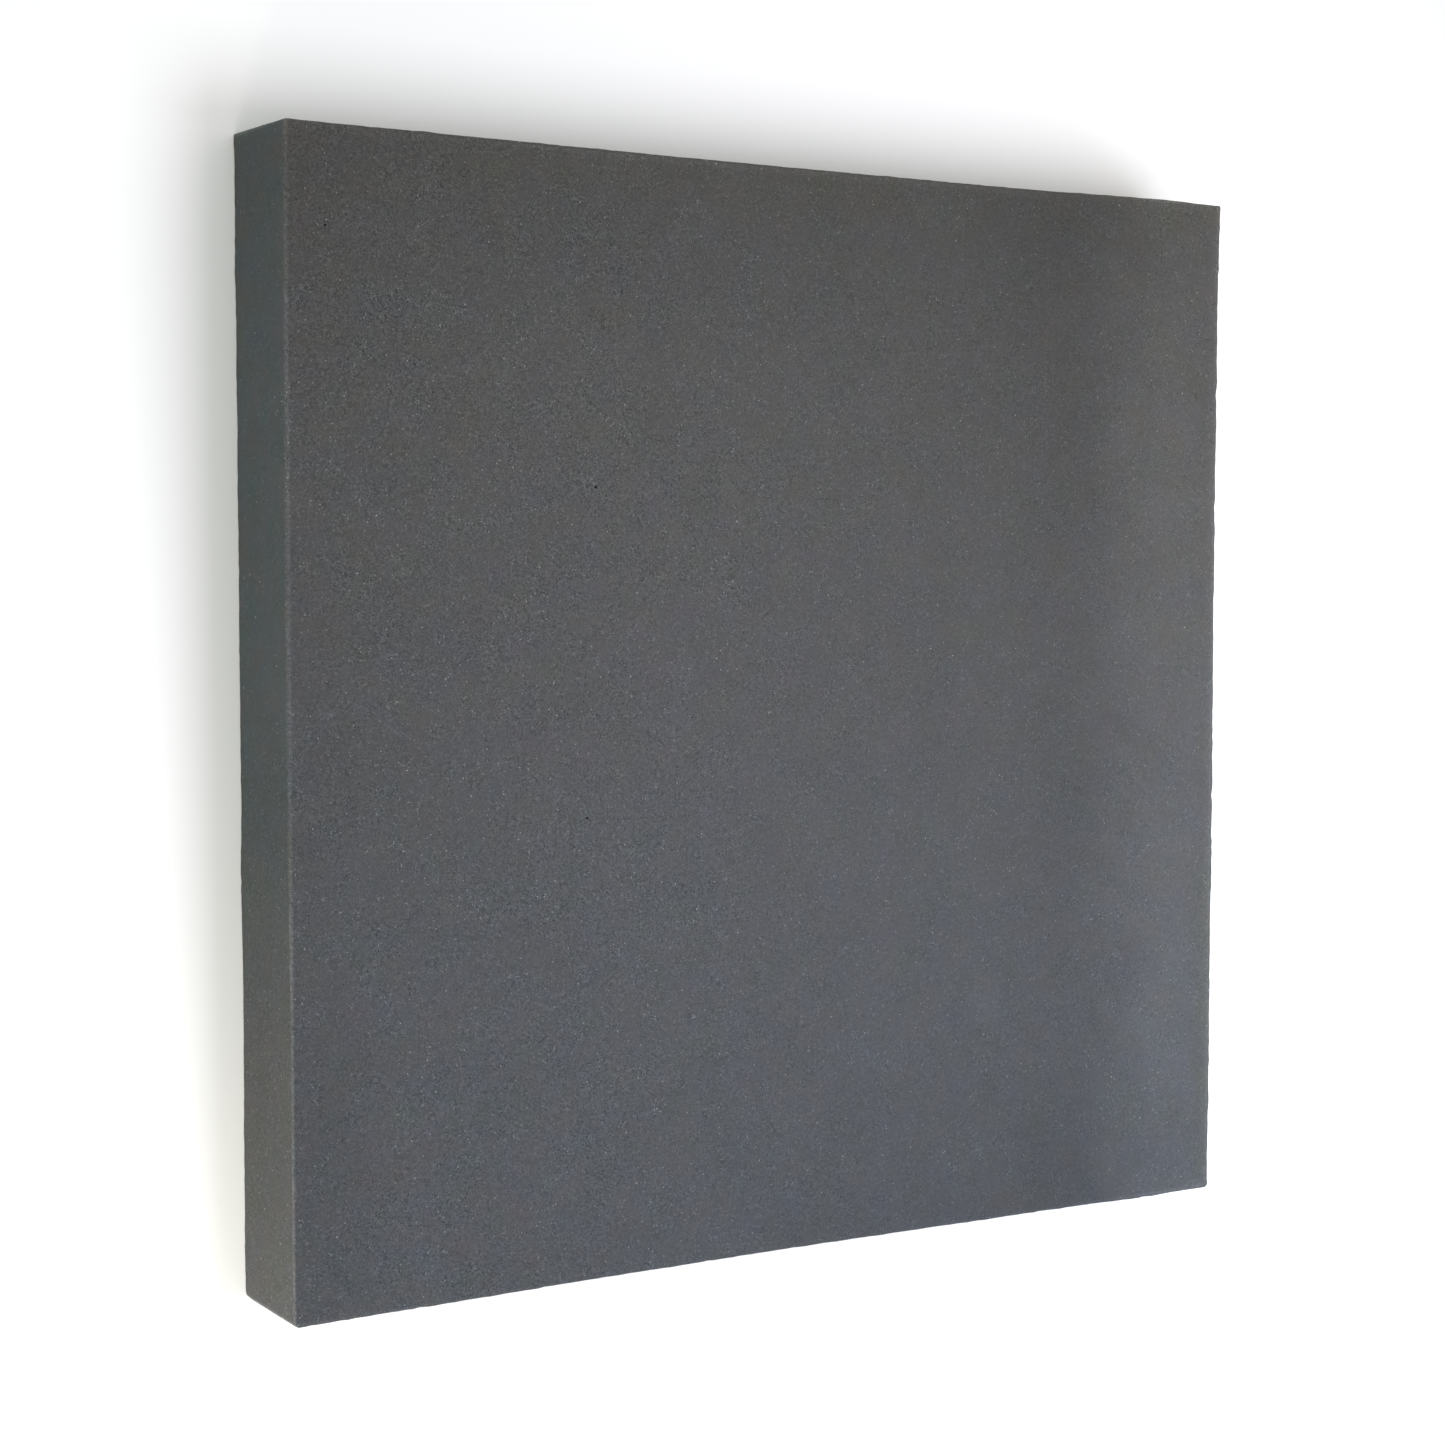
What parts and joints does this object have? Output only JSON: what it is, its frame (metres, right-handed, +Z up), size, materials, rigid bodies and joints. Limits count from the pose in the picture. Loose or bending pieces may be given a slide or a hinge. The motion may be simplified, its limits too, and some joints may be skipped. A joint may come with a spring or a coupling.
{
  "type": "polyether foam sheet",
  "caption": "Square sheet of dark grey open-cell polyether foam, cut flat on all sides, for padding, packing, upholstery and sound damping.",
  "frame": {"origin": "middle of the large face that the sheet rests on", "axes": "+Z up through the thickness, X along the length and Y along the width of the square"},
  "size_m": [0.45, 0.45, 0.05],
  "materials": {
    "foam": "dark grey open-cell foam, cut face, matt with fine glinting cell walls"
  },
  "bodies": {
    "root": {"foam_sheet": "foam"}
  },
  "joints": []
}
